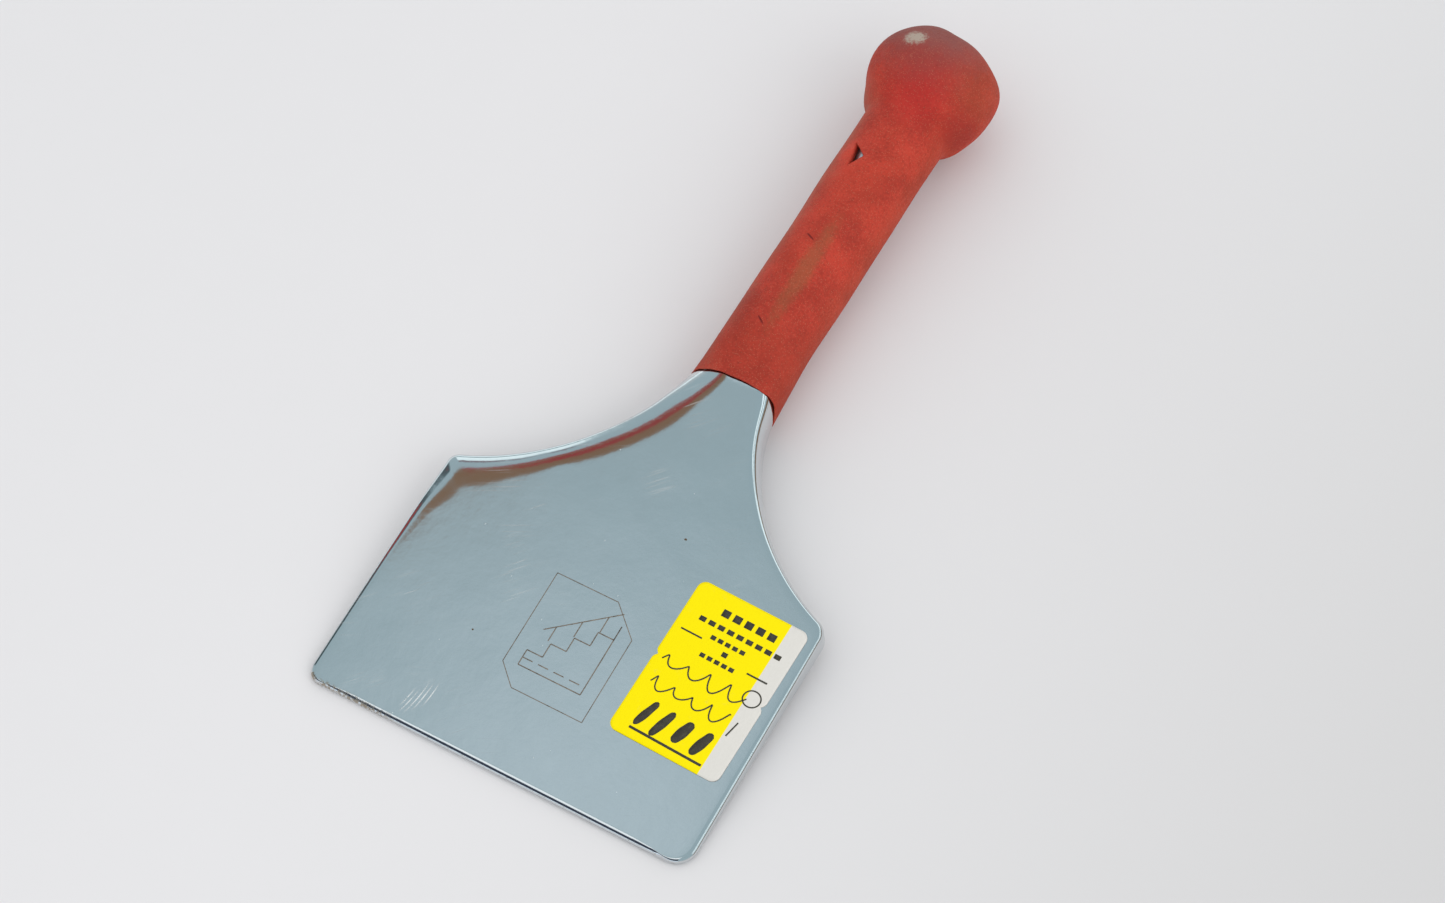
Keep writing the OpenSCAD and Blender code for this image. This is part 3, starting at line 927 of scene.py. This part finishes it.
def dirty_material(name, colour, other, mask, bump, roughness=None, **constants):
    """A material between two colours, and two roughnesses if given, by a mask that also raises it."""
    made, tree, at, finish = surface(name, colour, **constants)
    value = mask(tree, at)
    finish(Base_Color=tree.mix(value, colour, other), Normal=tree.bump(value, bump, 0.4))
    if roughness:
        finish(Roughness=tree.blend(value, *roughness))
    return made


def ink_material(look):
    """Marker and printing ink: near-black, patchy where it has dried thin."""
    return dirty_material(
        "label_ink", look.ink, shade(look.ink, 1.9),
        lambda tree, at: tree.ramp(tree.group("Grain", at, Coarse=0.6, Fine=3.0), 0.45, 0.65),
        0.01 * MM, Roughness=0.6)


def engraving_material(look):
    """Etched line: brown-grey, rough, darker where dirt sits in it."""
    return dirty_material(
        "etched_line", look.engraving, (0.11, 0.085, 0.06),
        lambda tree, at: tree.ramp(tree.noise(at, 0.6, 4.0, 0.7), 0.45, 0.68),
        0.01 * MM, (0.5, 0.75), Metallic=0.25)


def steel_material(name, colour, scale, stretch):
    """Bare steel under the grip: turned or welded texture as stretched noise, with dull brown stains."""
    made, tree, at, finish = surface(name, colour, Metallic=1.0)
    lines = tree.noise(tree.scaled(at, stretch), scale, 5.0, 0.65)
    stain = tree.ramp(tree.noise(at, 0.12, 4.0, 0.6), 0.5, 0.75)
    tone = tree.mix(lines, shade(colour, 0.8), shade(colour, 1.15))
    finish(Base_Color=tree.mix(tree.times(stain, 0.5), tone, (0.20, 0.13, 0.08)),
           Roughness=tree.blend(stain, 0.28, 0.6), Normal=tree.bump(lines, 0.03 * MM, 0.6))
    return made


# ---- settings


def colour_setting(name, description, default):
    """A colour that a user may change."""
    return FloatVectorProperty(name=name, description=description, subtype="COLOR", size=3, min=0, max=1,
                               default=default)


class StairToolLook(bpy.types.PropertyGroup):
    """Colours and finishes that a user may change before building."""

    chrome: colour_setting("Chrome", "Tint of the plated blade", (0.63, 0.655, 0.67))
    plate_roughness: FloatProperty(name="Plate roughness", description="Roughness of the chrome plate",
                                   subtype="FACTOR", min=0.0, max=1.0, default=0.10)
    vinyl: colour_setting("Grip", "Colour of the vinyl grip", (0.425, 0.043, 0.026))
    label: colour_setting("Label", "Colour of the price label", (0.95, 0.80, 0.003))
    ink: colour_setting("Ink", "Colour of the marks on the label", (0.035, 0.030, 0.018))
    engraving: colour_setting("Etching", "Colour of the etched mark", (0.24, 0.20, 0.16))


class StairToolStudio(bpy.types.PropertyGroup):
    """Floor, light and camera."""

    floor: colour_setting("Floor", "Colour of the floor", (0.765, 0.765, 0.765))
    dome: FloatProperty(name="Dome light", description="Strength of the soft light all round", min=0,
                        default=0.945)
    camera_distance: FloatProperty(name="Camera distance", description="From the camera to its aim",
                                   subtype="DISTANCE", unit="LENGTH", min=0.1, default=1.0107)
    lens: FloatProperty(name="Lens", description="Focal length on a 36 mm sensor, in millimetres",
                        min=1, default=85.05)


# ---- operators


class STAIRTOOL_OT_blade(bpy.types.Operator):
    """Build the forged, plated blade with its rounded edges, neck and socket"""

    bl_idname = "stairtool.blade"
    bl_label = "Blade"

    def execute(self, context):
        look = context.scene.stairtool_look
        solid("blade_plated", *blade_mesh(), chrome_material(look), "plated_steel", "blade")
        return {"FINISHED"}


class STAIRTOOL_OT_grip(bpy.types.Operator):
    """Build the vinyl grip: leaning mouth, sleeve with its tear, and ball end"""

    bl_idname = "stairtool.grip"
    bl_label = "Grip"

    def execute(self, context):
        look = context.scene.stairtool_look
        solid("grip_vinyl", *grip_mesh(), vinyl_material(look), "vinyl", "grip")
        return {"FINISHED"}


class STAIRTOOL_OT_label(bpy.types.Operator):
    """Build the price label and the generic marks on it"""

    bl_idname = "stairtool.label"
    bl_label = "Price label"

    def execute(self, context):
        look = context.scene.stairtool_look
        solid("label_sheet", *label_mesh(), paper_material(look), "label", "price_label")
        solid("label_marks", *joined(print_strips()), ink_material(look), "label")
        return {"FINISHED"}


class STAIRTOOL_OT_mark(bpy.types.Operator):
    """Build the etched mark on the blade's top face"""

    bl_idname = "stairtool.mark"
    bl_label = "Etched mark"

    def execute(self, context):
        look = context.scene.stairtool_look
        solid("etched_mark", *joined(mark_strips()), engraving_material(look), "plated_steel")
        return {"FINISHED"}


class STAIRTOOL_OT_steel(bpy.types.Operator):
    """Give the bar, the ball and the welds inside the grip their finishes"""

    bl_idname = "stairtool.steel"
    bl_label = "Inner steel"

    def execute(self, context):
        weld = (0.40, 0.37, 0.33)
        for name, slot, title, colour, scale, stretch in (
            ("shank", "plated_steel", "plated_bar", (0.66, 0.69, 0.71), 1.2, (0.2, 1, 0.2)),
            ("ball", "bare_steel", "turned_ball", (0.50, 0.49, 0.47), 0.9, (0.3, 1, 0.3)),
            ("neck_weld", "weld_metal", "neck_weld_metal", weld, 0.7, (1, 1, 1)),
            ("ball_weld", "weld_metal", "ball_weld_metal", weld, 0.7, (1, 1, 1)),
        ):
            piece = frame["nodes"][name]
            piece.data.materials.clear()
            piece.data.materials.append(steel_material(title, colour, scale, stretch))
        return {"FINISHED"}


# What the chrome mirrors. Each card is part of a sphere: name, azimuth from +X towards +Y, half spread,
# lowest and highest elevation (degrees), colour, strength, and radius and centre in metres if others.
COOL, SLATE = (0.85, 0.98, 1.0), (0.16, 0.22, 0.25)
BROWN, DARK_RED, RED = (0.30, 0.185, 0.115), (0.36, 0.06, 0.06), (0.22, 0.03, 0.045)
DEEP, UMBER, INDIGO = (0.07, 0.12, 0.13), (0.24, 0.19, 0.13), (0.06, 0.075, 0.11)
CARDS = [
    ("flag_brown", 147, 20, 50.5, 64, BROWN, 0.9),
    ("flag_red_neck", 156, 7, 51.5, 56.5, DARK_RED, 1.0, 0.35, (-0.004, -0.004, 0.012)),
    ("flag_red_rim", 146, 9, 48.6, 50.8, DARK_RED, 1.0, 0.35, (-0.018, -0.026, 0.01)),
    ("flag_red_line", 126, 16, 38, 40.5, RED, 0.8),
    ("light_back_left", 122, 20, 21, 36, COOL, 1.3),
    ("line_back_left", 122, 20, 16, 20, SLATE, 0.9),
    ("light_back_low", 122, 20, 4, 15, COOL, 1.3),
    ("light_left_low", 157, 14, 3, 10, COOL, 1.3),
    ("flag_left_side", 171, 8, 14, 40, DEEP, 0.9),
    ("flag_red_corner", 169, 2.5, 20, 36, DARK_RED, 1.1, 1.5),
    ("light_back_right", 82, 19, 18, 44, COOL, 1.3),
    ("line_back_right", 82, 19, 9, 17, UMBER, 0.9),
    ("light_right", 25, 38, 27, 50, COOL, 1.4),
    ("flag_right_line", 25, 38, 35, 39.5, SLATE, 1.0, 1.5),
    ("flag_right", 30, 43, 5, 17, (0.30, 0.19, 0.11), 0.8),
    ("light_front", -110, 45, 52, 72, (0.93, 0.98, 1.0), 1.25),
    ("flag_front", -110, 45, 18, 51, INDIGO, 0.8),
    ("light_front_low", -110, 45, 4, 17, (0.80, 0.90, 1.0), 1.2),
]


def studio_card(name, azimuth, spread, low, high, colour, strength, radius=1.6, centre=(0, 0, 0)):
    """A flag or light that only polished metal sees: part of a sphere about a centre, between two
    elevations and to either side of an azimuth."""
    e, a = np.meshgrid(np.radians(np.linspace(low, high, 9)),
                       np.radians(np.linspace(azimuth - spread, azimuth + spread, 25)), indexing="ij")
    points = centre + radius * xyz(np.cos(e) * np.cos(a), np.cos(e) * np.sin(a), np.sin(e))
    made, tree = new_material(name)
    made.node_tree.nodes.clear()
    glow = tree.node("ShaderNodeEmission", {"Color": colour, "Strength": strength})
    tree.node("ShaderNodeOutputMaterial", {"Surface": glow.outputs[0]})
    card = linked(name, points, grid_faces(9, 25), made)
    card.visible_camera = card.visible_diffuse = card.visible_shadow = False
    card.visible_transmission = card.visible_volume_scatter = False


class STAIRTOOL_OT_stage(bpy.types.Operator):
    """Build the pale floor, the soft studio light with its flags, and the camera"""

    bl_idname = "stairtool.stage"
    bl_label = "Stage"

    def execute(self, context):
        studio = context.scene.stairtool_studio
        self.floor(studio)
        self.world(studio)
        self.lights()
        self.camera(context, studio)
        context.scene.view_settings.view_transform = "Standard"
        return {"FINISHED"}

    def floor(self, studio):
        """A wide disc at z = 0, cool on the left, with painted shade making it a little darker on the right.
        """
        ring = np.linspace(0, 2 * math.pi, 96, endpoint=False)
        radii = np.array([[0.0], [0.5], [1.5], [4.0], [12.0]])
        points = xyz(radii * np.cos(ring), radii * np.sin(ring), 0)
        made, tree = new_material("pale_floor")
        where = tree.node("ShaderNodeTexCoord").outputs["Object"]
        cool = [c * f for c, f in zip(studio.floor, (1.0, 1.0, 1.02))]
        # Painted shade: the floor's colour darkens from left to right in place of light falling off.
        tone = tree.mix(tree.ramp(tree.axes(where)[0], -0.08, 0.45), cool, shade(studio.floor, 0.72))
        tone = tree.mix(tree.times(tree.noise(where, 60.0, 4.0, 0.6), 0.06), tone, (0.6, 0.6, 0.6))
        shader = made.node_tree.nodes["Principled BSDF"]
        tree.put(shader.inputs["Roughness"], 0.9)
        tree.put(shader.inputs["Base Color"], tone)
        floor = linked("floor", points, grid_faces(len(radii), len(ring), wrap=True)[:, ::-1], made)

    def world(self, studio):
        """Even pale light for matt surfaces and the view; polished metal sees a cooler, darker room."""
        world = bpy.data.worlds.new("soft_room")
        world.use_nodes = True
        bpy.context.scene.world = world
        tree = Tree(world.node_tree)
        path = tree.node("ShaderNodeLightPath").outputs
        toward = tree.node("ShaderNodeTexCoord").outputs["Generated"]
        glow = tree.ramp(tree.far(toward, (-0.305, 0.10, 0.947)), 0.12, 0.0)
        overhead = tree.mix(glow, (0.452, 0.588, 0.635), (0.68, 0.81, 0.87))
        room = tree.mix(tree.ramp(tree.axes(toward)[2], 0.02, 0.45), (0.74, 0.76, 0.77), overhead)
        pale = tree.mix(path["Is Camera Ray"], (1.0, 1.0, 1.0), (0.80, 0.805, 0.81))
        shader = world.node_tree.nodes["Background"]
        tree.put(shader.inputs["Color"], tree.mix(path["Is Glossy Ray"], pale, room))
        tree.put(shader.inputs["Strength"], studio.dome)

    def lights(self):
        """One broad soft window light from the right, and the cards that the chrome mirrors."""
        data = bpy.data.lights.new("window", "AREA")
        data.shape, data.size, data.size_y, data.energy = "RECTANGLE", 1.6, 1.2, 7.0
        window = bpy.data.objects.new("window", data)
        window.location = (1.4, -0.4, 1.0)
        window.rotation_mode = "QUATERNION"
        window.rotation_quaternion = Vector(window.location).to_track_quat("Z", "Y")
        window.visible_glossy = False
        bpy.context.scene.collection.objects.link(window)
        for values in CARDS:
            studio_card(*values)

    def camera(self, context, studio):
        """A camera round the blade's root, by azimuth, elevation and roll, aimed a little off it."""
        azimuth, elevation, roll = (math.radians(a) for a in (35.75, 57.04, -6.20))
        target = Vector((0, CAD_BOX[0].y + 0.120, 0))
        aim_right, aim_up = 0.00392, 0.0017
        level = math.cos(elevation)
        back = Vector((math.sin(azimuth) * level, -math.cos(azimuth) * level, math.sin(elevation)))
        right = Vector((math.cos(azimuth), math.sin(azimuth), 0))
        up = back.cross(right)
        side = right * math.cos(roll) + up * math.sin(roll)
        head = -right * math.sin(roll) + up * math.cos(roll)
        forward = (-back + side * aim_right + head * aim_up).normalized()
        side = forward.cross(head).normalized()
        data = bpy.data.cameras.new("camera")
        data.lens, data.sensor_width = studio.lens, 36
        camera = bpy.data.objects.new("camera", data)
        camera.location = target + back * studio.camera_distance
        camera.rotation_mode = "QUATERNION"
        turn = Matrix((side, side.cross(forward), -forward)).transposed()
        camera.rotation_quaternion = turn.to_quaternion()
        bpy.context.scene.collection.objects.link(camera)
        context.scene.camera = camera


PIECES = (STAIRTOOL_OT_blade, STAIRTOOL_OT_grip, STAIRTOOL_OT_label, STAIRTOOL_OT_mark, STAIRTOOL_OT_steel,
          STAIRTOOL_OT_stage)


class STAIRTOOL_PT_panel(bpy.types.Panel):
    """Lists the tool's pieces and settings in the sidebar"""

    bl_idname = "STAIRTOOL_PT_panel"
    bl_label = "Stair tool"
    bl_space_type = "VIEW_3D"
    bl_region_type = "UI"
    bl_category = "Stair tool"

    def draw(self, context):
        for settings in (context.scene.stairtool_look, context.scene.stairtool_studio):
            for name in settings.__annotations__:
                self.layout.prop(settings, name)
        for piece in PIECES:
            self.layout.operator(piece.bl_idname)


CLASSES = (StairToolLook, StairToolStudio, *PIECES, STAIRTOOL_PT_panel)


def register():
    """Registers every class and hangs the settings on the scene."""
    for item in CLASSES:
        bpy.utils.register_class(item)
    bpy.types.Scene.stairtool_look = PointerProperty(type=StairToolLook)
    bpy.types.Scene.stairtool_studio = PointerProperty(type=StairToolStudio)


def unregister():
    """Takes the settings and the classes away again."""
    del bpy.types.Scene.stairtool_look
    del bpy.types.Scene.stairtool_studio
    for item in reversed(CLASSES):
        bpy.utils.unregister_class(item)


def main():
    register()
    bpy.ops.stairtool.blade()
    bpy.ops.stairtool.grip()
    bpy.ops.stairtool.label()
    bpy.ops.stairtool.mark()
    bpy.ops.stairtool.steel()
    bpy.ops.stairtool.stage()


if __name__ == "__main__":
    main()
